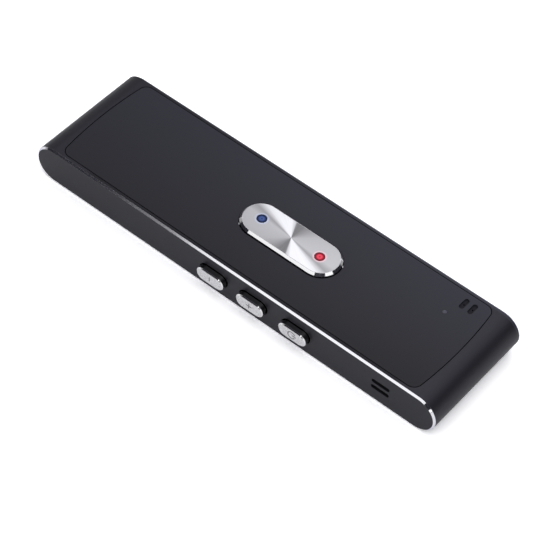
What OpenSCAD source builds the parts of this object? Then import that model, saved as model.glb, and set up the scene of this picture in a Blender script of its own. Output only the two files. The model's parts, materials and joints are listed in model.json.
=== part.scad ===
// Pocket voice translator: a slim metal body with a rocker key on top and three side buttons.
// X runs along the length, Y across the width (the buttons face -Y), Z up from the surface
// that the body lies on. The origin is the middle of the flat underside. Millimetres.

/* [Body] */
// Length over the two rounded ends
body_l = 140; // [130:1:150]
// Width across the flat long sides
body_w = 38.4; // [37:0.2:40]
// Thickness, which is also the diameter of the rounded ends
body_t = 12.5; // [12:0.1:13]
// Width of the bright chamfer round each long side
edge_chamfer = 0.55; // [0.3:0.05:0.8]
// Thickness of the long side walls
side_wall = 1.6; // [1.4:0.1:1.8]

/* [Panels] */
// Distance from the middle to each bulged end of the top and bottom panels
panel_end_x = 63; // [61:0.2:63.4]
// Half the width of the panels' pockets
panel_half_w = 17.8; // [17.2:0.1:18]
// Radius of the bulged panel ends
panel_bulge_r = 130; // [90:5:200]
// Corner radius of the panels
panel_corner_r = 2.8; // [1.5:0.1:4]
// Open seam between a panel and the body
panel_seam = 0.26; // [0.1:0.02:0.3]
// Thickness of the panels
panel_t = 1.05; // [0.9:0.05:1.1]

/* [Rocker key] */
// Middle of the rocker key along the body
rocker_x = 6.2; // [2:0.1:8]
// Straight length between the key's two round ends
rocker_straight = 20.6; // [18:0.2:22]
// Radius of the key's round ends
rocker_r = 6.1; // [5.8:0.05:6.25]
// Height of the key above the top panel
rocker_proud = 1.15; // [0.9:0.05:1.4]
// Bevel round the key's face
rocker_bevel = 0.65; // [0.3:0.05:0.75]
// Gap between the key and the panel
rocker_gap = 0.25; // [0.2:0.05:0.35]
// Diameter of the two round indicators
indicator_d = 3; // [2.4:0.1:3.4]

/* [Side buttons] */
// Middle of each side button along the body
button_x = [-4.65, 9.25, 23.95];
// Length of a button
button_l = 9.35; // [9:0.05:9.8]
// Height of a button
button_h = 4.55; // [4.4:0.05:4.8]
// How far a button stands out of the side
button_proud = 1.85; // [1.5:0.05:2.2]
// Travel of a button
button_travel = 0.35; // [0.25:0.05:0.35]

/* [Sound openings] */
// Middle of the speaker slots along the body
speaker_x = 52.3; // [51:0.1:53]
// Length of a speaker slot
speaker_slot_l = 5.9; // [4:0.1:6.2]
// Middle of the microphone slots on the top panel
mic_at = [55.8, 13.85];
// Length of a microphone slot
mic_slot_l = 3.9; // [3:0.1:4]

/* [Hidden] */
$fn = 96;
eps = 0.01;

// Body
nose_r = body_t / 2;
edge_cut = [edge_chamfer, edge_chamfer];
nose_x = body_l / 2 - nose_r;
mid_z = body_t / 2;
cavity_r = nose_r - 2.2;
cavity_half_w = body_w / 2 - side_wall;
ledge_half = [60.5, 16.6];
ledge_corner_r = 2;
glue_t = 0.15;
pocket_depth = panel_t + glue_t;
rib_t = 1.1;
rib_gap = 0.3;
rib_depth = 0.9;

// Main board and what stands on it
board_z = 7.5;
board_t = 0.8;
board_top = board_z + board_t;
board_half_w = 16.3;
board_x = [-59.5, 44];
board_tail_x = 59.5;
board_tail_y = 3;
notch_x = [-14, 33];
notch_y = -11.9;
boss_at = [[-56, -14.6], [-56, 14.6], [38, -14.6], [48.5, 14.6]];
boss_r = 2;
pilot_r = 0.65;
pilot_depth = 3.2;
screw_head = [1.25, 0.6];
panel_under_z = body_t - panel_t;

// Rocker key
rocker_top = body_t + rocker_proud;
rocker_skirt_z = 10.4;
rocker_plate_t = 0.4;
rocker_rim = 0.08;
plate_gap = 0.03;
rocker_wall = 0.9;
rocker_roof_t = 0.8;
rocker_flange = [0.7, 0.5];
rocker_axis_z = 9.7;
rocker_hub = [3.2, 11.6, 8.95];
rocker_pin_r = 0.6;
running_gap = 0.05;
lug_y = 7.1;
lug_t = 1.2;
lug_r = rocker_axis_z - board_top;
cradle_plate = [7, 22.8, 0.5];
cradle_screw_y = 10;
nub_x = 11;
nub_r = 1.2;
nub_z = 9.25;
indicator_x = [-10.3, 9.9];
lens_depth = 0.75;
plate_r = rocker_r - rocker_bevel - rocker_rim - plate_gap;
lens_gap = 0.05;

// Side buttons
window_gap = [0.3, 0.35];
button_bevel = [0.35, 0.25];
button_root_y = -(cavity_half_w - 0.1);
flange_over = 0.9;
flange_t = 0.8;
post_r = 1.1;
guide_y = button_root_y + flange_t + button_travel + running_gap;
guide_t = 0.8;
guide_x = [-13, 32];
guide_z = [2.4, 10.1];
key_board_t = 0.6;
key_board_y = -13;
switch_size = [4.6, 1.6, 3.6];
stem_r = 0.75;
stem_front_y = -15.2;
stem_l = 1.2;

// Speaker and microphone
slot_h = 1.35;
speaker_slot_dz = [-1.05, 1.3];
mic_slot_w = 1.5;
mic_slot_depth = 0.5;
mic_hole_r = 0.25;
mic_slot_dx = [-1.4, 1.4];
mic_size = [3.8, 3, 1];
mic_y = mic_at.y - 0.9;
boot_size = [5.2, 4.4];
boot_wall = 1;
mesh_t = 0.25;
gasket_t = 1.35;
speaker_depth = 3;
led_at = [52.1, 8.2];
led_hole_r = 0.65;

// Charging socket
socket_x = 9;
socket = [7.6, 2.6];
socket_wall = 0.25;
socket_y = [12.9, 18.9];
socket_gap = 0.3;

// Battery
battery_x = [-52, -15];
battery = [30, 5.2];
battery_z = 1.5;

// ---- Shared shapes ----

// Outline with two half-round ends, long way along X
module stadium(straight, r) {
    square([straight, 2 * r], center = true);
    for (side = [-1, 1])
        translate([side * straight / 2, 0]) circle(r = r);
}

// Half section of a bar, from its middle line out to r. low and high give the bevels at its
// bottom and top, as [inset, height].
function bar_section(r, h, low, high) = [
    [0, 0], [r - low.x, 0], [r, low.y],
    [r, h - high.y], [r - high.x, h], [0, h]
];

// Upright bar with half-round ends and bevels as in bar_section
module stadium_bar(straight, r, h, low = [0, 0], high = [0, 0]) {
    half = bar_section(r, h, low, high);
    rotate([90, 0, 90])
        linear_extrude(straight, center = true)
            for (flip = [0, 1])
                mirror([flip, 0]) polygon(half);
    for (side = [-1, 1])
        translate([side * straight / 2, 0, 0])
            rotate_extrude() polygon(half);
}

// Outline with rounded corners, centred
module round_rect(size, r) {
    square([size.x - 2 * r, size.y], center = true);
    square([size.x, size.y - 2 * r], center = true);
    for (sx = [-1, 1], sy = [-1, 1])
        translate([sx * (size.x / 2 - r), sy * (size.y / 2 - r)]) circle(r = r);
}

// Turns a shape drawn along X and up Z so that it grows from y towards +Y
module facing_y(x, y, z) {
    translate([x, y, z]) rotate([90, 0, 0]) mirror([0, 0, 1]) children();
}

// Outline of a panel or its pocket: straight sides, bulged ends, four round corners.
// inset shrinks it evenly all round.
module panel_outline(inset = 0) {
    half_w = panel_half_w - inset;
    bulge_r = panel_bulge_r - inset;
    bulge_x = panel_end_x - panel_bulge_r;
    corner_r = panel_corner_r - inset;
    corner_y = half_w - corner_r;
    corner_x = bulge_x + sqrt(pow(bulge_r - corner_r, 2) - pow(corner_y, 2));
    lean = atan2(corner_y, corner_x - bulge_x);
    reach = 2 * corner_r;
    difference() {
        intersection() {
            square([body_l, 2 * half_w], center = true);
            for (side = [0, 1])
                mirror([side, 0]) panel_half(bulge_x, bulge_r);
        }
        for (sx = [0, 1], sy = [0, 1])
            mirror([sx, 0])
                mirror([0, sy])
                    translate([corner_x, corner_y])
                        difference() {
                            polygon([[0, 0], [0, reach], [reach, reach],
                                reach * [cos(lean), sin(lean)]]);
                            circle(r = corner_r);
                        }
    }
}

// The +X half of a panel, bounded by the disc that gives its bulged end
module panel_half(bulge_x, bulge_r) {
    intersection() {
        translate([bulge_x, 0]) circle(r = bulge_r, $fn = 720);
        translate([0, -body_w]) square([body_l, 2 * body_w]);
    }
}

// Small pan-head screw standing head up on z = 0, shank below
module small_screw(shank_r, shank_l, head_r, head_h) {
    difference() {
        cylinder(r = head_r, h = head_h);
        translate([0, 0, head_h / 2]) cylinder(r = head_r / 2, h = head_h, $fn = 6);
    }
    translate([0, 0, -shank_l]) cylinder(r = shank_r, h = shank_l);
}

// ---- Casing ----

// Solid outer form: half-round noses, flat sides, chamfered side outlines
module body_blank() {
    translate([0, body_w / 2, mid_z])
        rotate([90, 0, 0])
            stadium_bar(2 * nose_x, nose_r, body_w, edge_cut, edge_cut);
}

// Room inside the body, between the panels' ledges and into both noses
module body_cavity() {
    translate([0, cavity_half_w, mid_z])
        rotate([90, 0, 0])
            linear_extrude(2 * cavity_half_w) stadium(2 * nose_x, cavity_r);
}

// Post with a web to the side wall, which carries a corner of the main board
module board_boss(at) {
    side = sign(at.y);
    foot_z = mid_z - cavity_r;
    translate([at.x, at.y, foot_z]) cylinder(r = boss_r, h = board_z - foot_z);
    web = [boss_r, cavity_half_w - abs(at.y) + eps, board_z - foot_z];
    translate([at.x - web.x / 2, side > 0 ? at.y : at.y - web.y, foot_z]) cube(web);
}

module body_frame() {
    color("#2a2b30")
        difference() {
            union() {
                difference() {
                    body_blank();
                    body_cavity();
                    for (z = [-eps, body_t - pocket_depth])
                        translate([0, 0, z])
                            linear_extrude(pocket_depth + eps) panel_outline();
                    linear_extrude(body_t)
                        round_rect(2 * ledge_half, ledge_corner_r);
                }
                for (at = boss_at) board_boss(at);
            }
            for (at = boss_at)
                translate([at.x, at.y, board_z - pilot_depth])
                    cylinder(r = pilot_r, h = pilot_depth + eps);
            for (x = button_x)
                facing_y(x, -body_w / 2 - eps, mid_z)
                    linear_extrude(side_wall + 2 * eps)
                        stadium(button_l - button_h + 2 * (window_gap.x - window_gap.y),
                            button_h / 2 + window_gap.y);
            for (dz = speaker_slot_dz)
                facing_y(speaker_x, -body_w / 2 - eps, mid_z + dz)
                    linear_extrude(side_wall + 2 * eps)
                        stadium(speaker_slot_l - slot_h, slot_h / 2);
            facing_y(socket_x, cavity_half_w - eps, mid_z)
                linear_extrude(side_wall + 2 * eps)
                    round_rect(socket + 2 * [socket_gap, socket_gap], 1);
        }
}

// Flat plate with a locating rib on its inner face
module panel_blank() {
    linear_extrude(panel_t) panel_outline(panel_seam);
    outer = 2 * (ledge_half - [rib_gap, rib_gap]);
    translate([0, 0, panel_t - eps])
        linear_extrude(rib_depth + eps)
            difference() {
                round_rect(outer, ledge_corner_r);
                round_rect(outer - 2 * [rib_t, rib_t], ledge_corner_r - rib_t / 2);
            }
}

module front_panel() {
    color("#35363b")
        difference() {
            translate([0, 0, body_t]) mirror([0, 0, 1]) panel_blank();
            translate([rocker_x, 0, 0])
                linear_extrude(body_t + eps)
                    stadium(rocker_straight, rocker_r + rocker_gap);
            for (dx = mic_slot_dx)
                translate([mic_at.x + dx, mic_at.y, 0]) {
                    cylinder(r = mic_hole_r, h = body_t);
                    translate([0, 0, body_t - mic_slot_depth])
                        linear_extrude(body_t)
                            rotate(90) stadium(mic_slot_l - mic_slot_w, mic_slot_w / 2);
                }
            translate([led_at.x, led_at.y, panel_under_z - eps])
                cylinder(r = led_hole_r, h = panel_t + 2 * eps);
        }
}

module back_panel() {
    color("#2f3035") panel_blank();
}

// Ring of adhesive between a ledge and a panel
module panel_adhesive(z) {
    color("#141414")
        translate([0, 0, z])
            linear_extrude(glue_t)
                difference() {
                    panel_outline(2 * panel_seam);
                    round_rect(2 * ledge_half, ledge_corner_r);
                }
}

// ---- Rocker key ----

// Hollow chromed key: bevelled rim round the plate's pocket, skirt with a retaining flange,
// hinge hub and two switch nubs
module rocker_key() {
    plate_z = rocker_top - rocker_plate_t;
    room_h = plate_z - rocker_roof_t - rocker_skirt_z;
    hub_h = plate_z - rocker_hub.z - eps;
    color("#c9ccd2")
        translate([rocker_x, 0, 0])
            difference() {
                union() {
                    difference() {
                        union() {
                            translate([0, 0, rocker_skirt_z])
                                stadium_bar(rocker_straight, rocker_r,
                                    rocker_top - rocker_skirt_z,
                                    high = [rocker_bevel, rocker_bevel]);
                            translate([0, 0, rocker_skirt_z])
                                linear_extrude(rocker_flange.y)
                                    stadium(rocker_straight, rocker_r + rocker_flange.x);
                        }
                        translate([0, 0, rocker_skirt_z - eps])
                            linear_extrude(room_h + eps)
                                stadium(rocker_straight, rocker_r - rocker_wall);
                        translate([0, 0, plate_z])
                            linear_extrude(rocker_plate_t + eps)
                                stadium(rocker_straight, plate_r + plate_gap);
                    }
                    translate([-rocker_hub.x / 2, -rocker_hub.y / 2, rocker_hub.z])
                        cube([rocker_hub.x, rocker_hub.y, hub_h]);
                    for (side = [-1, 1])
                        translate([side * nub_x, 0, nub_z])
                            cylinder(r = nub_r, h = plate_z - nub_z - rocker_roof_t + eps);
                }
                translate([0, rocker_hub.y, rocker_axis_z])
                    rotate([90, 0, 0])
                        cylinder(r = rocker_pin_r + running_gap, h = 2 * rocker_hub.y);
                for (x = indicator_x)
                    translate([x, 0, rocker_top - lens_depth])
                        cylinder(r = indicator_d / 2 + lens_gap, h = lens_depth);
            }
}

// Spun metal plate let into the key's face
module rocker_face_plate() {
    color("#8d9096")
        translate([rocker_x, 0, rocker_top - rocker_plate_t])
            difference() {
                linear_extrude(rocker_plate_t) stadium(rocker_straight, plate_r);
                for (x = indicator_x)
                    translate([x, 0, -eps])
                        cylinder(r = indicator_d / 2 + lens_gap, h = rocker_plate_t + 2 * eps);
            }
}

// Round coloured lens let into the key, its rim eased
module indicator(side) {
    lens_h = lens_depth - 0.02;
    ease = [0.08, 0.08];
    translate([rocker_x + indicator_x[side], 0, rocker_top - lens_depth])
        rotate_extrude() polygon(bar_section(indicator_d / 2, lens_h, [0, 0], ease));
}

module blue_indicator() {
    color("#2f5f9e") indicator(0);
}

module red_indicator() {
    color("#d8283c") indicator(1);
}

module rocker_pin() {
    reach = lug_y + lug_t;
    color("#b8bbc0")
        translate([rocker_x, reach, rocker_axis_z])
            rotate([90, 0, 0])
                cylinder(r = rocker_pin_r, h = 2 * reach);
}

// Bent sheet bracket on the main board, with two round-topped lugs for the pin
module rocker_cradle() {
    color("#9a9da3")
        translate([rocker_x, 0, 0])
            difference() {
                union() {
                    translate([-cradle_plate.x / 2, -cradle_plate.y / 2, board_top])
                        cube(cradle_plate);
                    for (side = [-1, 1])
                        translate([0, side * (lug_y + lug_t / 2), 0])
                            rotate([90, 0, 0])
                                linear_extrude(lug_t, center = true) {
                                    translate([0, rocker_axis_z]) circle(r = lug_r);
                                    translate([-lug_r, board_top])
                                        square([2 * lug_r, rocker_axis_z - board_top]);
                                }
                }
                translate([0, cradle_plate.y / 2, rocker_axis_z])
                    rotate([90, 0, 0])
                        cylinder(r = rocker_pin_r, h = cradle_plate.y);
                for (side = [-1, 1])
                    translate([0, side * cradle_screw_y, board_top - eps])
                        cylinder(r = pilot_r, h = cradle_plate.z + 2 * eps);
            }
}

module cradle_screws() {
    color("#85888e")
        for (side = [-1, 1])
            translate([rocker_x, side * cradle_screw_y, board_top + cradle_plate.z])
                small_screw(pilot_r, cradle_plate.z + board_t, 1, 0.5);
}

// Low dome switch under one end of the key
module dome_switch(side) {
    base = [4.6, 4.6, 0.35];
    color("#c4c6c8")
        translate([rocker_x + side * nub_x, 0, board_top]) {
            linear_extrude(base.z) round_rect([base.x, base.y], 0.6);
            translate([0, 0, base.z - eps])
                rotate_extrude() polygon([[0, 0], [1.7, 0], [1.1, 0.16], [0, 0.2]]);
        }
}

// ---- Side buttons ----

// Chromed push button: bevelled cap, retaining flange behind the wall, switch post
module side_button(x) {
    straight = button_l - button_h;
    cap_h = button_proud + body_w / 2 + button_root_y;
    color("#d3d6da")
        facing_y(x, -body_w / 2 - button_proud, mid_z) {
            stadium_bar(straight, button_h / 2, cap_h + eps, low = button_bevel);
            translate([0, 0, cap_h])
                linear_extrude(flange_t)
                    stadium(straight, button_h / 2 + flange_over);
            translate([0, 0, cap_h + flange_t - eps])
                cylinder(r = post_r, h = stem_front_y - button_root_y - flange_t + eps);
        }
}

// Strip behind the buttons that stops their flanges and holds the small key board
module button_guide() {
    height = guide_z[1] - guide_z[0];
    leg = [1.2, guide_y + cavity_half_w + eps, height];
    flange_half = button_l / 2 + flange_over;
    gaps = [for (i = [0, 1]) (button_x[i] + button_x[i + 1]) / 2];
    ends = [button_x[0] - flange_half - leg.x, button_x[2] + flange_half + leg.x];
    color("#3a3b3e")
        difference() {
            union() {
                translate([guide_x[0], guide_y, guide_z[0]])
                    cube([guide_x[1] - guide_x[0], guide_t, height]);
                for (x = concat(gaps, ends))
                    translate([x - leg.x / 2, -cavity_half_w, guide_z[0]]) cube(leg);
                for (x = [guide_x[0], guide_x[1] - leg.x])
                    translate([x, guide_y, guide_z[0]])
                        cube([leg.x, key_board_y - guide_y, height]);
            }
            for (x = button_x)
                facing_y(x, guide_y - eps, mid_z)
                    cylinder(r = post_r + 0.4, h = guide_t + 2 * eps);
        }
}

module side_key_board() {
    color("#1f6b3a")
        translate([guide_x[0], key_board_y, guide_z[0]])
            cube([guide_x[1] - guide_x[0], key_board_t, guide_z[1] - guide_z[0]]);
}

// Push switch on the key board, with a round guide for its stem
module side_switch(x) {
    color("#b9bcc0")
        facing_y(x, key_board_y - switch_size.y, mid_z)
            difference() {
                linear_extrude(switch_size.y)
                    round_rect([switch_size.x, switch_size.z], 0.4);
                translate([0, 0, -eps])
                    cylinder(r = stem_r + running_gap, h = switch_size.y - 0.3);
            }
}

module side_switch_stem(x) {
    color("#202022")
        facing_y(x, stem_front_y, mid_z) cylinder(r = stem_r, h = stem_l);
}

// ---- Electronics ----

module main_board() {
    color("#1c5f38")
        translate([0, 0, board_z])
            linear_extrude(board_t)
                difference() {
                    polygon([
                        [board_x[0], -board_half_w], [notch_x[0], -board_half_w],
                        [notch_x[0], notch_y], [notch_x[1], notch_y],
                        [notch_x[1], -board_half_w], [board_x[1], -board_half_w],
                        [board_x[1], board_tail_y], [board_tail_x, board_tail_y],
                        [board_tail_x, board_half_w], [board_x[0], board_half_w]
                    ]);
                    for (at = boss_at)
                        translate([at.x, at.y]) circle(r = pilot_r);
                    for (side = [-1, 1])
                        translate([rocker_x, side * cradle_screw_y]) circle(r = pilot_r);
                }
}

module board_screws() {
    color("#85888e")
        for (at = boss_at)
            translate([at.x, at.y, board_top])
                small_screw(pilot_r, board_t + pilot_depth - 0.4, screw_head.x, screw_head.y);
}

// Flat chip package on the main board
module chip(at, size) {
    translate([at.x, at.y, board_top])
        linear_extrude(size.z) round_rect([size.x, size.y], 0.3);
}

module processor() {
    color("#202124") chip([30, -3], [9, 9, 1]);
}

module memory_chip() {
    color("#26272a") chip([38.5, -3], [6, 9, 0.9]);
}

// Folded tin lid over the processor and the memory
module shield_can() {
    can = [19, 13, 1.7];
    wall = 0.2;
    color("#b4b7ba")
        translate([34, -3, board_top])
            difference() {
                linear_extrude(can.z) round_rect([can.x, can.y], 0.6);
                translate([0, 0, -eps])
                    linear_extrude(can.z - wall + eps)
                        round_rect([can.x - 2 * wall, can.y - 2 * wall], 0.4);
            }
}

module radio_module() {
    color("#a7aaad") chip([-36, 3], [14, 11, 1.6]);
}

// Pouch cell with rounded long sides
module battery() {
    color("#8f9398")
        translate([battery_x[0], 0, battery_z + battery.y / 2])
            rotate([90, 0, 90])
                linear_extrude(battery_x[1] - battery_x[0])
                    stadium(battery.x - battery.y, battery.y / 2);
}

module battery_pad() {
    pad = [30, 22];
    color("#4a4a4c")
        translate([(battery_x[0] + battery_x[1]) / 2, 0, panel_t])
            linear_extrude(battery_z - panel_t) square(pad, center = true);
}

module battery_circuit() {
    color("#1c5f38")
        translate([battery_x[1], -9, battery_z + 1.1]) cube([0.8, 18, 3]);
}

// Plug of the cell's two wires, under the main board
module battery_connector() {
    size = [4, 5, 2.4];
    color("#e6e3d8")
        translate([battery_x[1] + 4, -size.y / 2, board_z - size.z]) cube(size);
}

module battery_leads() {
    color("#b02020")
        for (side = [-1, 1])
            translate([battery_x[1] + 0.8, side * 1.2, board_z - 2])
                rotate([0, 90, 0])
                    cylinder(r = 0.4, h = 3.2);
}

// Outline of the charging plug's shape: flat top, lower corners cut
module socket_outline(inset = 0) {
    half = socket / 2 - [inset, inset];
    cut = 0.9;
    polygon([[-half.x, half.y], [half.x, half.y], [half.x, cut - half.y],
        [half.x - cut, -half.y], [cut - half.x, -half.y], [-half.x, cut - half.y]]);
}

// Folded metal socket under the board's edge, open at the side of the body
module charge_socket_shell() {
    color("#b9bcc0")
        facing_y(socket_x, socket_y[0], board_z - socket.y / 2)
            linear_extrude(socket_y[1] - socket_y[0])
                difference() {
                    socket_outline();
                    socket_outline(socket_wall);
                }
}

// Insulator that closes the socket's back and carries its contact tongue
module charge_socket_tongue() {
    tongue = [5.2, 0.6, 4.2];
    back_t = 0.7;
    color("#17181a")
        facing_y(socket_x, socket_y[0], board_z - socket.y / 2) {
            linear_extrude(back_t) socket_outline(socket_wall);
            translate([-tongue.x / 2, -0.1, back_t - eps]) cube([tongue.x, tongue.y, tongue.z]);
        }
}

// Oval micro speaker that fires through the side slots
module speaker() {
    front_y = -cavity_half_w + mesh_t + gasket_t;
    color("#2b2c2f")
        facing_y(speaker_x, front_y, mid_z)
            difference() {
                linear_extrude(speaker_depth) stadium(4.6, 3.9);
                translate([0, 0, -eps]) linear_extrude(1.2) stadium(4.6, 3.2);
            }
}

module speaker_diaphragm() {
    front_y = -cavity_half_w + mesh_t + gasket_t;
    color("#56585c")
        facing_y(speaker_x, front_y + 0.7, mid_z)
            stadium_bar(4.6, 3.2, 0.49, low = [0.3, 0.3]);
}

module speaker_gasket() {
    color("#1b1b1c")
        facing_y(speaker_x, -cavity_half_w + mesh_t, mid_z)
            linear_extrude(gasket_t)
                difference() {
                    stadium(4.6, 3.7);
                    stadium(3.8, 2.4);
                }
}

module speaker_mesh() {
    color("#101011")
        facing_y(speaker_x, -cavity_half_w, mid_z)
            linear_extrude(mesh_t) stadium(4.2, 3.2);
}

module microphone() {
    color("#c8b878")
        translate([mic_at.x, mic_y, board_top])
            linear_extrude(mic_size.z) round_rect([mic_size.x, mic_size.y], 0.2);
}

// Rubber boot that joins both slots' holes to the microphone
module microphone_boot() {
    color("#161617")
        translate([mic_at.x, mic_y, board_top + mic_size.z])
            linear_extrude(panel_under_z - board_top - mic_size.z)
                difference() {
                    round_rect(boot_size, 0.8);
                    round_rect(boot_size - 2 * [boot_wall, boot_wall], 0.3);
                }
}

module indicator_led() {
    color("#e8e4c8")
        translate([led_at.x, led_at.y, board_top])
            linear_extrude(0.6) square([1.6, 0.8], center = true);
}

// Smoked pipe with a collar under the panel, which carries the light to the top face
module light_pipe() {
    foot_z = board_top + 0.6;
    collar_h = 0.5;
    color("#5a5c60")
        translate([led_at.x, led_at.y, 0]) {
            translate([0, 0, foot_z])
                cylinder(r = led_hole_r - running_gap, h = body_t - foot_z);
            translate([0, 0, panel_under_z - collar_h]) cylinder(r = 1.3, h = collar_h);
        }
}

// Thin aerial bonded inside the rounded end at -X
module antenna() {
    strip_t = 0.2;
    half_w = 12;
    sweep = 100;
    color("#a97a3c")
        translate([-nose_x, half_w, mid_z])
            rotate([90, 0, 0])
                rotate([0, 0, 180 - sweep / 2])
                    rotate_extrude(angle = sweep)
                        translate([cavity_r - strip_t, 0]) square([strip_t, 2 * half_w]);
}

// ---- Nodes ----

body_frame();
front_panel();
back_panel();
panel_adhesive(body_t - pocket_depth);  // front_panel_adhesive
panel_adhesive(panel_t);  // back_panel_adhesive
rocker_key();
rocker_face_plate();
blue_indicator();
red_indicator();
rocker_pin();
rocker_cradle();
cradle_screws();
dome_switch(-1);  // blue_side_switch
dome_switch(1);  // red_side_switch
side_button(button_x[0]);  // minus_button
side_button(button_x[1]);  // plus_button
side_button(button_x[2]);  // power_button
side_switch(button_x[0]);  // minus_switch
side_switch(button_x[1]);  // plus_switch
side_switch(button_x[2]);  // power_switch
side_switch_stem(button_x[0]);  // minus_switch_stem
side_switch_stem(button_x[1]);  // plus_switch_stem
side_switch_stem(button_x[2]);  // power_switch_stem
button_guide();
side_key_board();
main_board();
board_screws();
processor();
memory_chip();
shield_can();
radio_module();
battery();
battery_pad();
battery_circuit();
battery_leads();
battery_connector();
charge_socket_shell();
charge_socket_tongue();
speaker();
speaker_diaphragm();
speaker_gasket();
speaker_mesh();
microphone();
microphone_boot();
indicator_led();
light_pipe();
antenna();
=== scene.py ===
import json
import math

import bmesh
import bpy
from mathutils import Matrix, Vector


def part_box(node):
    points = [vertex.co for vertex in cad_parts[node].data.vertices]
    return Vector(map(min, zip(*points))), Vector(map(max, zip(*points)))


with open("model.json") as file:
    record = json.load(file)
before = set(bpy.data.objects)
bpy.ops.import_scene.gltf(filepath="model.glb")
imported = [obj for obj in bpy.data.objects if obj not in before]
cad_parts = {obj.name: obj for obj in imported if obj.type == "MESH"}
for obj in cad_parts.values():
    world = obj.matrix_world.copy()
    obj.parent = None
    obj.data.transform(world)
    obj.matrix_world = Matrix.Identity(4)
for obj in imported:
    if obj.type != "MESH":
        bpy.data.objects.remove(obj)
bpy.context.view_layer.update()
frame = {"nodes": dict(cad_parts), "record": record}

# Finishes, signs, studio and camera for a pocket voice translator. The frame is the packed
# model's: X along the length, the side buttons on -Y, Z up from the surface that the body lies
# on. Places of lamps and camera are in metres. Sizes in the finishes are in millimetres.

MM = 0.001
NODES = frame["nodes"]

# Sizes that the finishes need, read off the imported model
body_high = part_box("body_frame")[1]
BODY_HALF_W = body_high.y / MM
BODY_T = body_high.z / MM
MID_Z = BODY_T / 2
NOSE_R = BODY_T / 2
NOSE_X = body_high.x / MM - NOSE_R
KEY_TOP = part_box("rocker_face_plate")[1].z / MM

# Width of the bright chamfer, and how far inside it the bare metal starts
EDGE_CUT = 0.55
CUT_INSET = 0.02
# The narrow rails between the panels' seams and the chamfers: their two edges across the body,
# and the middle and half length of the stretch on the buttons' side that is painted blacker as
# shade along the seam
RAIL_IN = 17.8
RAIL_OUT = BODY_HALF_W - 0.3
SHADED_RAIL_X = 3.0
SHADED_RAIL_HALF = 54.0
# Depth below a panel's face from which the floors of its slots count
SLOT_FLOOR = 0.25
# Depth of the key's flat top rim, in which its duller finish starts
RIM_DEPTH = 0.03
# Depths from a button's face to its pitted face finish and to its sides, on which a dark reflection
# is painted
FACE_DEPTH = 0.05
PAINTED_DARK_SIDE_DEPTH = 0.35
# Half the width of a line in a button's sign
STROKE = 0.17

# Painted reflections on the spun plate: its tones over half a turn from +X, which both halves
# repeat
PLATE_RAY_SHEEN = (
    (0.00, 0.43), (0.22, 0.38), (0.31, 0.30), (0.40, 0.22), (0.49, 0.15), (0.60, 0.13),
    (0.625, 0.18), (0.645, 0.50), (0.67, 0.62), (0.71, 0.79), (0.84, 0.79), (0.88, 0.72),
    (0.91, 0.47), (0.932, 0.28), (0.955, 0.34), (0.98, 0.43), (1.00, 0.43),
)

# Linear colours of each indicator's rim, body and paler ring, and of the glow painted round it on
# the plate
INDICATORS = {
    "blue": ((0.004, 0.014, 0.05), (0.018, 0.040, 0.17), (0.045, 0.09, 0.26), (0.52, 0.57, 0.76)),
    "red": ((0.17, 0.006, 0.018), (0.60, 0.016, 0.045), (0.78, 0.07, 0.11), (0.85, 0.52, 0.58)),
}


# ---- Shader tools ----


class Wire:
    """An output socket that adds Math nodes when it is used in an expression."""

    def __init__(self, paint, socket):
        self.paint = paint
        self.socket = socket

    def math(self, operation, *values):
        inputs = dict(enumerate((self, *values)))
        return self.paint.node("Math", inputs, operation=operation)

    def flipped(self, operation, value):
        return self.paint.node("Math", {0: value, 1: self}, operation=operation)

    def __add__(self, other):
        return self.math("ADD", other)

    def __sub__(self, other):
        return self.math("SUBTRACT", other)

    def __rsub__(self, other):
        return self.flipped("SUBTRACT", other)

    def __mul__(self, other):
        return self.math("MULTIPLY", other)

    def __truediv__(self, other):
        return self.math("DIVIDE", other)

    def __rtruediv__(self, other):
        return self.flipped("DIVIDE", other)

    def __pow__(self, other):
        return self.math("POWER", other)

    def __neg__(self):
        return self.math("MULTIPLY", -1.0)

    def __abs__(self):
        return self.math("ABSOLUTE")

    __radd__ = __add__
    __rmul__ = __mul__

    def least(self, other):
        return self.math("MINIMUM", other)

    def most(self, other):
        return self.math("MAXIMUM", other)

    def past(self, edge, blur):
        """0 below edge, 1 above it, with a soft step that is blur wide."""
        inputs = {"Value": self, "From Min": edge - blur / 2, "From Max": edge + blur / 2}
        return self.paint.node("MapRange", inputs, interpolation_type="SMOOTHSTEP")

    def under(self, edge, blur):
        """1 below edge and 0 above it."""
        return 1 - self.past(edge, blur)

    def within(self, low, high, blur):
        return self.past(low, blur) * self.under(high, blur)


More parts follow.
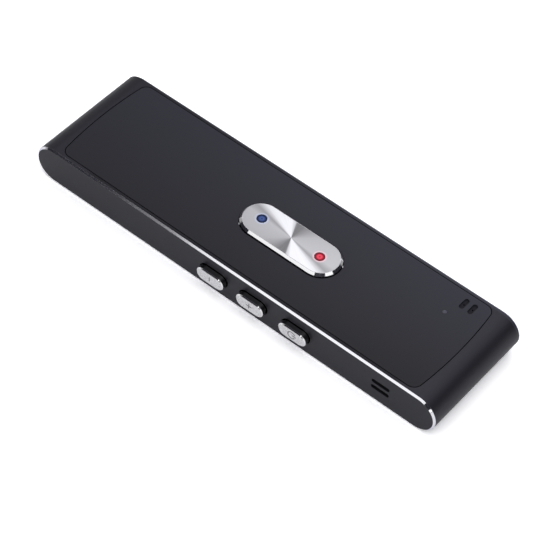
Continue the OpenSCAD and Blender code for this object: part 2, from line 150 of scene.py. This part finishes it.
class Paint:
    """The node tree of one material, or of the world."""

    def __init__(self, owner):
        owner.use_nodes = True
        self.owner = owner
        self.tree = owner.node_tree
        self.tree.nodes.clear()

    def node(self, kind, inputs=None, output=0, **settings):
        """Adds a node, sets it up, fills or links its inputs and gives one of its outputs."""
        made = self.tree.nodes.new("ShaderNode" + kind)
        stops = settings.pop("stops", None)
        for name, value in settings.items():
            setattr(made, name, value)
        if stops:
            self.set_stops(made.color_ramp.elements, stops)
        for name, value in (inputs or {}).items():
            if isinstance(value, Wire):
                self.tree.links.new(value.socket, made.inputs[name])
            else:
                made.inputs[name].default_value = value
        return Wire(self, made.outputs[output])

    def set_stops(self, elements, stops):
        while len(elements) < len(stops):
            elements.new(1.0)
        for element, (position, colour) in zip(elements, stops):
            element.position = position
            element.color = colour

    def finish(self, shader, kind="Material"):
        made = self.tree.nodes.new("ShaderNodeOutput" + kind)
        self.tree.links.new(shader.socket, made.inputs["Surface"])
        return self.owner

    def place(self):
        """X, Y and Z on the object, in millimetres, and the vector of the three."""
        spot = self.node("TexCoord", output="Object")
        spot = self.node("VectorMath", {0: spot, "Scale": 1 / MM}, operation="SCALE")
        axes = [self.node("SeparateXYZ", {0: spot}, output=axis) for axis in "XYZ"]
        return (*axes, spot)

    def noise(self, spot, size, detail=2.0, rough=0.5):
        """Cloudy pattern from 0 to 1 whose lumps are about size millimetres."""
        inputs = {"Vector": spot, "Scale": 1 / size, "Detail": detail, "Roughness": rough}
        return self.node("TexNoise", inputs, output="Fac")

    def blend(self, mask, first, second):
        """The first colour where mask is 0, the second where it is 1."""
        made = self.tree.nodes.new("ShaderNodeMix")
        made.data_type = "RGBA"
        for name, value in (("Factor_Float", mask), ("A_Color", first), ("B_Color", second)):
            socket = next(s for s in made.inputs if s.identifier == name)
            if isinstance(value, Wire):
                self.tree.links.new(value.socket, socket)
            else:
                socket.default_value = value
        return Wire(self, next(s for s in made.outputs if s.identifier == "Result_Color"))

    def bump(self, height, distance, strength=1.0):
        """A normal from a height from 0 to 1 that stands for distance millimetres."""
        inputs = {"Height": height, "Strength": strength, "Distance": distance * MM}
        return self.node("Bump", inputs)


def length_of(first, second):
    """Distance from two legs."""
    return (first * first + second * second) ** 0.5


def rgb(red, green, blue):
    return (red, green, blue, 1.0)


def grey(value, tint=0.0):
    """A grey, cooled by tint."""
    return rgb(value, value, value * (1 + tint))


def new_paint(name):
    return Paint(bpy.data.materials.new(name))


def middle_x(node):
    low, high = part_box(node)
    return (low.x + high.x) / 2 / MM


# ---- Finishes ----


def nose_reach(x, z):
    """Distance from the middle line of the body's side, a bar with half-round ends."""
    beyond = (abs(x) - NOSE_X).most(0.0)
    return length_of(beyond, z - MID_Z)


def anodised_body():
    """Matt black anodised metal, with bright cut chamfers and narrow rails beside the panels.

    The rail on the buttons' side is painted blacker as shade along the seam, and the far one has a
    painted sheen that grows greyer towards +X.
    """
    paint = new_paint("anodised_body")
    x, y, z, spot = paint.place()
    cut = abs(y).past(BODY_HALF_W - EDGE_CUT + CUT_INSET, CUT_INSET)
    cut = cut * nose_reach(x, z).past(NOSE_R - EDGE_CUT + CUT_INSET, CUT_INSET)
    grain = paint.noise(spot, 0.09, 3.0, 0.6)
    cloud = paint.noise(spot, 9.0, 2.0)
    black = paint.blend(cloud, grey(0.0055, 0.5), grey(0.0075, 0.5))
    rail = abs(y).within(RAIL_IN, RAIL_OUT, 0.15)
    # Painted shade: the rail on the buttons' side is made blacker along most of its length
    shaded_rail = rail * y.under(0.0, 1.0) * abs(x - SHADED_RAIL_X).under(SHADED_RAIL_HALF, 3.0)
    # Painted sheen: the far rail is made greyer towards +X
    sheen_rail = rail * y.past(0.0, 1.0) * (x * 0.02 + 0.6).most(0.0).least(1.0)
    black = paint.blend(shaded_rail, black, grey(0.001, 0.5))
    black = paint.blend(sheen_rail, black, grey(0.019, 0.5))
    mill = paint.noise(spot, 0.05, 1.0)
    bright = paint.blend(mill, grey(0.88, 0.05), grey(0.93, 0.05))
    matt = 0.40 + grain * 0.06 + shaded_rail * 0.15
    bump = paint.bump(grain * (1 - cut), 0.006, 0.35)
    shader = paint.node("BsdfPrincipled", {
        "Base Color": paint.blend(cut, black, bright),
        "Metallic": cut,
        "Roughness": matt * (1 - cut) + (0.075 + mill * 0.02) * cut,
        "Specular IOR Level": 0.44,
        "Specular Tint": rgb(0.89, 0.88, 1.0),
        "Normal": bump,
    })
    return paint.finish(shader)


def matt_panel(name, dark, light):
    """Matt black blasted panel with a painted sheen that grows greyer away from the buttons, and
    painted shade on the floors of its slots.
    """
    paint = new_paint(name)
    x, y, z, spot = paint.place()
    grain = paint.noise(spot, 0.07, 3.0, 0.6)
    cloud = paint.noise(spot, 14.0, 3.0)
    smear = paint.noise(spot, 3.5, 2.0)
    # Painted sheen across the panel, greyer away from the buttons, with random cloudy tone in it
    cloud_and_sheen = y * (x * 0.0001 + 0.022) + cloud * 0.1 + 0.42
    colour = paint.blend(cloud_and_sheen.most(0.0).least(1.0), dark, light)
    # Painted shade: the floors of the slots are made darker
    shaded_slot = z.within(1.0, BODY_T - SLOT_FLOOR, 0.2)
    colour = paint.blend(shaded_slot, colour, grey(0.009, 0.5))
    shader = paint.node("BsdfPrincipled", {
        "Base Color": colour,
        "Specular IOR Level": 0.25,
        "Roughness": 0.40 + grain * 0.05 + smear * 0.04 + shaded_slot * 0.3,
        "Normal": paint.bump(grain, 0.005, 0.3),
    })
    return paint.finish(shader)


def polished_chrome(name):
    """Polished plating with a trace of waviness and rub marks, duller on its narrow top rim."""
    paint = new_paint(name)
    x, y, z, spot = paint.place()
    wave = paint.noise(spot, 2.4, 1.0)
    rub = paint.noise(spot, 0.25, 2.0)
    rim = z.past(KEY_TOP - RIM_DEPTH, 0.02)
    plating = paint.blend(rub, grey(0.84, 0.02), grey(0.92, 0.02))
    shader = paint.node("BsdfPrincipled", {
        "Base Color": paint.blend(rim, plating, grey(0.58, 0.03)),
        "Metallic": 1.0,
        "Roughness": 0.05 + rub * 0.05 + rim * 0.2,
        "Normal": paint.bump(wave, 0.004, 0.15),
    })
    return paint.finish(shader)


def box_reach(u, v, half_u, half_v):
    """How far a point lies outside a rectangle, negative inside it."""
    return (abs(u) - half_u).most(abs(v) - half_v)


def minus_sign(u, v):
    """A minus that reads with the body upright, so it runs across the button."""
    return box_reach(u, v, STROKE, 0.85)


def plus_sign(u, v):
    return box_reach(u, v, STROKE, 0.95).least(box_reach(u, v, 0.95, STROKE))


def power_sign(u, v):
    """Open ring with a stroke, its gap towards +X."""
    ring = abs(length_of(u, v) - 1.2) - 0.18
    gap = box_reach(u - 1.1, v, 1.1, 0.5)
    stroke = box_reach(u - 0.9, v, 0.7, STROKE)
    return ring.most(-gap).least(stroke)


def button_chrome(name, node, sign):
    """Satin plating with fine pits, a dull etched sign in the middle of the face, and a dark
    reflection painted on its sides.
    """
    paint = new_paint(name)
    x, y, z, spot = paint.place()
    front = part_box(node)[0].y / MM
    face = y.under(front + FACE_DEPTH, 0.04)
    etched = sign(x - middle_x(node), z - MID_Z).under(0.0, 0.09) * face
    pits = paint.noise(spot, 0.22, 3.0, 0.7).past(0.55, 0.25)
    tone = paint.blend(pits * face, grey(0.97, 0.02), grey(0.55, 0.02))
    # Painted reflection: the button's sides past the face are made dark grey
    tone = paint.blend(y.past(front + PAINTED_DARK_SIDE_DEPTH, 0.1), tone, grey(0.25))
    shader = paint.node("BsdfPrincipled", {
        "Base Color": paint.blend(etched * 0.8, tone, grey(0.14, 0.02)),
        "Metallic": 1.0,
        "Roughness": 0.045 + face * 0.12 + etched * 0.3,
        "Normal": paint.bump(pits * face, 0.006, 0.3),
    })
    return paint.finish(shader)


def spun_face():
    """Metal turned round the middle of the key, with painted reflections that run in rays from
    there.
    """
    paint = new_paint("spun_face")
    x, y, z, spot = paint.place()
    away_x = x - middle_x("rocker_face_plate")
    turn = paint.node("Math", {0: y, 1: away_x}, operation="ARCTAN2") / (2 * math.pi)
    turn = ((turn + 1).math("FRACT") * 2).math("FRACT")
    # Painted reflection: the light and dark rays round the middle of the plate
    stops = [(part, grey(tone, 0.035)) for part, tone in PLATE_RAY_SHEEN]
    tone = paint.node("ValToRGB", {"Fac": turn}, stops=stops)
    radius = length_of(away_x, y)
    ray = paint.node("CombineXYZ", {"X": turn * 60, "Y": radius * 0.15, "Z": 0.0})
    streak = paint.noise(ray, 1.0, 3.0, 0.6)
    tone = paint.blend(streak.past(0.6, 0.4) * 0.15, tone, grey(0.35))
    groove = paint.noise(paint.node("CombineXYZ", {"X": radius}), 0.06, 3.0, 0.7)
    tone = paint.blend(groove * 0.1, tone, grey(0.9))
    for name, colours in INDICATORS.items():
        # Painted glow: a pale ring in each indicator's colour on the plate round it
        painted_glow = length_of(x - middle_x(name + "_indicator"), y).under(1.95, 0.6)
        tone = paint.blend(painted_glow * 0.6, tone, rgb(*colours[-1]))
    shader = paint.node("BsdfPrincipled", {
        "Base Color": tone,
        "Metallic": 1.0,
        "Roughness": 0.26 + groove * 0.1,
        "Normal": paint.bump(groove, 0.004, 0.25),
    })
    return paint.finish(shader)


def lens(name):
    """Glossy coloured indicator with a dark rim and a paler ring round its middle."""
    rim, deep, pale = (rgb(*colour) for colour in INDICATORS[name][:3])
    paint = new_paint(name + "_lens")
    x, y, z, spot = paint.place()
    radius = length_of(x - middle_x(name + "_indicator"), y)
    colour = paint.blend(radius.within(0.25, 0.75, 0.3), deep, pale)
    shader = paint.node("BsdfPrincipled", {
        "Base Color": paint.blend(radius.past(1.0, 0.4), colour, rim),
        "Specular IOR Level": 0.15,
        "Roughness": 0.22 + paint.noise(spot, 0.3) * 0.05,
    })
    return paint.finish(shader)


def plain(name, colour, rough, size, metallic=0.0, relief=0.004):
    """Inner part's finish: one colour, broken by cloudy wear of the given size."""
    paint = new_paint(name)
    x, y, z, spot = paint.place()
    cloud = paint.noise(spot, size, 3.0)
    darker = rgb(*(0.8 * part for part in colour[:3]))
    shader = paint.node("BsdfPrincipled", {
        "Base Color": paint.blend(cloud, darker, colour),
        "Metallic": metallic,
        "Roughness": rough + cloud * 0.1,
        "Normal": paint.bump(cloud, relief, 0.3),
    })
    return paint.finish(shader)


def circuit_board():
    """Green lacquer over copper tracks, with tinned pads."""
    paint = new_paint("circuit_board")
    x, y, z, spot = paint.place()
    along = abs((x * 0.9).math("FRACT") - 0.5).under(0.12, 0.06)
    bend = paint.noise(spot, 6.0, 0.0).past(0.5, 0.02)
    across = abs((y * 0.9).math("FRACT") - 0.5).under(0.12, 0.06)
    tracks = along * bend + across * (1 - bend)
    lot = paint.node("TexVoronoi", {"Vector": spot, "Scale": 0.45}, output="Distance")
    pads = lot.under(0.42, 0.04)
    green = paint.blend(tracks, rgb(0.006, 0.075, 0.028), rgb(0.018, 0.14, 0.05))
    shader = paint.node("BsdfPrincipled", {
        "Base Color": paint.blend(pads, green, rgb(0.62, 0.60, 0.55)),
        "Metallic": pads,
        "Roughness": 0.38 - pads * 0.1,
        "Normal": paint.bump(tracks + pads, 0.03, 0.4),
    })
    return paint.finish(shader)


def woven_mesh():
    """Black woven cloth that keeps dust out of the speaker."""
    paint = new_paint("woven_mesh")
    x, y, z, spot = paint.place()
    weave = (x * 21).math("SINE") * (z * 21).math("SINE")
    lifted = weave.past(0.0, 1.6)
    shader = paint.node("BsdfPrincipled", {
        "Base Color": paint.blend(lifted, grey(0.006), grey(0.05)),
        "Roughness": 0.5 + lifted * 0.1,
        "Normal": paint.bump(lifted, 0.05, 0.6),
    })
    return paint.finish(shader)


def battery_leads():
    """One red wire and one black wire."""
    paint = new_paint("wire_sleeve")
    x, y, z, spot = paint.place()
    red = y.past(0.0, 0.02)
    wear = paint.noise(spot, 0.5)
    shader = paint.node("BsdfPrincipled", {
        "Base Color": paint.blend(red, grey(0.02), rgb(0.42, 0.015, 0.015)),
        "Roughness": 0.4 + wear * 0.1,
    })
    return paint.finish(shader)


def dress(names, material):
    for name in names:
        slots = NODES[name].data.materials
        slots.clear()
        slots.append(material)


def dress_outside():
    dress(["body_frame"], anodised_body())
    dress(["front_panel"], matt_panel("top_panel", grey(0.0088, 0.4), grey(0.0235, 0.5)))
    dress(["back_panel"], matt_panel("underside_panel", grey(0.012, 0.1), grey(0.015, 0.1)))
    dress(["rocker_key"], polished_chrome("chrome"))
    dress(["rocker_face_plate"], spun_face())
    for name, sign in (("minus", minus_sign), ("plus", plus_sign), ("power", power_sign)):
        node = name + "_button"
        dress([node], button_chrome(name + "_chrome", node, sign))
    for name in INDICATORS:
        dress([name + "_indicator"], lens(name))
    dress(["light_pipe"], plain("smoked_plastic", grey(0.042, 0.5), 0.35, 1.0))


def dress_inside():
    dress(["main_board", "side_key_board", "battery_circuit"], circuit_board())
    dress(["speaker_mesh"], woven_mesh())
    dress(["battery_leads"], battery_leads())
    finishes = {
        "steel": (grey(0.50, 0.03), 0.26, 0.8, 1.0),
        "tin_sheet": (grey(0.62, 0.01), 0.32, 1.2, 1.0),
        "black_plastic": (grey(0.022), 0.45, 0.6, 0.0),
        "chip_resin": (grey(0.02, 0.1), 0.42, 0.3, 0.0),
        "cell_foil": (grey(0.45, 0.03), 0.34, 5.0, 1.0),
        "foam": (grey(0.05), 0.9, 0.25, 0.0),
        "adhesive": (grey(0.012), 0.6, 1.5, 0.0),
        "pale_plastic": (rgb(0.72, 0.70, 0.62), 0.4, 1.0, 0.0),
        "black_rubber": (grey(0.018), 0.75, 0.4, 0.0),
        "speaker_film": (grey(0.07, 0.05), 0.3, 1.0, 0.0),
        "gilt_can": (rgb(0.66, 0.50, 0.22), 0.28, 0.6, 1.0),
        "copper_foil": (rgb(0.62, 0.30, 0.16), 0.3, 2.0, 1.0),
    }
    for slot, (colour, rough, size, metallic) in finishes.items():
        names = [row["node"] for row in frame["record"]["subparts"]
                 if row["material_slot"] == slot]
        dress(names, plain(slot, colour, rough, size, metallic))


# ---- Studio ----

CAMERA_AT = Vector((0.22311, -0.30742, 0.45358))
CAMERA_AIM = Vector((0.00763, -0.00801, 0.00625))
CAMERA_ROLL = math.radians(4.793)
CAMERA_LENS = 140.18
CAMERA_SENSOR = 36.0

# What polished metal mirrors: a grey horizon, dark walls above it and a bright ceiling. The
# two heights are the upward parts of a unit vector.
HORIZON = 0.37
HORIZON_TO = 0.165
ROOM_DARK = 0.02
ROOM_DARK_TO = 0.69
ROOM_BRIGHT = 1.0
# Even light from all round on the object
SOFT_LIGHT = 0.72

# Heading, elevation, distance, width and height, brightness. Heading 0 is the -Y side, 90 is +X.
SOFTBOXES = {
    "front_box": (-9, 32, 2.0, (1.2, 0.7), 1.0),
    "front_edge_strip": (-29.7, 29, 2.0, (0.082, 0.5), 0.14),
    "front_corner_box": (14, 28, 2.0, (0.2, 0.25), 1.0),
    "right_box": (82.5, 36, 2.0, (1.05, 0.6), 1.1),
    "left_box": (-125, 21, 2.0, (0.8, 0.6), 0.75),
    "far_box": (150, 45, 2.0, (0.5, 0.3), 1.0),
    "low_strip": (-2, 12, 2.0, (0.3, 0.3), 1.3),
    "corner_strip": (41, 6, 2.0, (0.25, 0.3), 1.0),
    "back_box": (-168, 52, 0.31, (0.2, 0.2), 0.7),
    "overhead": (40, 68, 2.0, (1.6, 1.6), 1.1),
}


def add_camera():
    data = bpy.data.cameras.new("camera")
    data.lens = CAMERA_LENS
    data.sensor_width = CAMERA_SENSOR
    data.clip_start = 0.01
    data.clip_end = 50
    camera = bpy.data.objects.new("camera", data)
    camera.location = CAMERA_AT
    camera.rotation_mode = "QUATERNION"
    level = (CAMERA_AIM - CAMERA_AT).to_track_quat("-Z", "Y")
    camera.rotation_quaternion = level @ Matrix.Rotation(CAMERA_ROLL, 3, "Z").to_quaternion()
    bpy.context.scene.collection.objects.link(camera)
    bpy.context.scene.camera = camera


def add_softbox(name, heading, elevation, distance, size, brightness):
    """Area lamp aimed at the middle of the body."""
    data = bpy.data.lights.new(name, "AREA")
    data.shape = "RECTANGLE"
    data.size, data.size_y = size
    data.energy = brightness * math.pi * size[0] * size[1]
    lamp = bpy.data.objects.new(name, data)
    turn, rise = math.radians(heading), math.radians(elevation)
    flat = math.cos(rise)
    toward = Vector((flat * math.sin(turn), -flat * math.cos(turn), math.sin(rise)))
    lamp.location = toward * distance
    lamp.rotation_mode = "QUATERNION"
    lamp.rotation_quaternion = (-toward).to_track_quat("-Z", "Y")
    bpy.context.scene.collection.objects.link(lamp)


def seen_directly(paint):
    """1 for the camera and for what shows through clear parts."""
    camera = paint.node("LightPath", output="Is Camera Ray")
    through = paint.node("LightPath", output="Is Transmission Ray")
    return camera.most(through)


def add_world():
    """White to the eye, a room in reflections, and even soft light for the rest."""
    world = bpy.data.worlds.new("world")
    bpy.context.scene.world = world
    paint = Paint(world)
    way = paint.node("TexCoord", output="Generated")
    rise = paint.node("SeparateXYZ", {0: way}, output="Z")
    room = paint.blend(rise.past(ROOM_DARK_TO, 0.12), grey(ROOM_DARK, 0.3), grey(ROOM_BRIGHT, 0.05))
    room = paint.blend(rise.under(HORIZON_TO, 0.1), room, grey(HORIZON))
    mirrored = paint.node("Background", {"Color": room, "Strength": 1.0})
    white = paint.node("Background", {"Color": grey(1.0), "Strength": 1.0})
    soft = paint.node("Background", {"Color": grey(1.0, 0.04), "Strength": SOFT_LIGHT})
    glossy = paint.node("LightPath", output="Is Glossy Ray")
    unseen = paint.node("MixShader", {0: glossy, 1: soft, 2: mirrored})
    mixed = paint.node("MixShader", {0: seen_directly(paint), 1: unseen, 2: white})
    paint.finish(mixed, "World")


def add_floor():
    """Plain pale floor that keeps the object's shadow."""
    bm = bmesh.new()
    bmesh.ops.create_grid(bm, x_segments=1, y_segments=1, size=6.0)
    mesh = bpy.data.meshes.new("floor")
    bm.to_mesh(mesh)
    bm.free()
    floor = bpy.data.objects.new("floor", mesh)
    floor.location.z = -0.0002
    bpy.context.scene.collection.objects.link(floor)
    paint = new_paint("floor")
    pale = paint.node("BsdfDiffuse", {"Color": grey(0.8)})
    white = paint.node("BsdfDiffuse", {"Color": grey(1.45)})
    mixed = paint.node("MixShader", {0: seen_directly(paint), 1: pale, 2: white})
    mesh.materials.append(paint.finish(mixed))


def add_studio():
    bpy.context.scene.view_settings.view_transform = "Standard"
    add_world()
    add_floor()
    for name, (heading, elevation, distance, size, brightness) in SOFTBOXES.items():
        add_softbox(name, heading, elevation, distance, size, brightness)


add_camera()
dress_outside()
dress_inside()
add_studio()
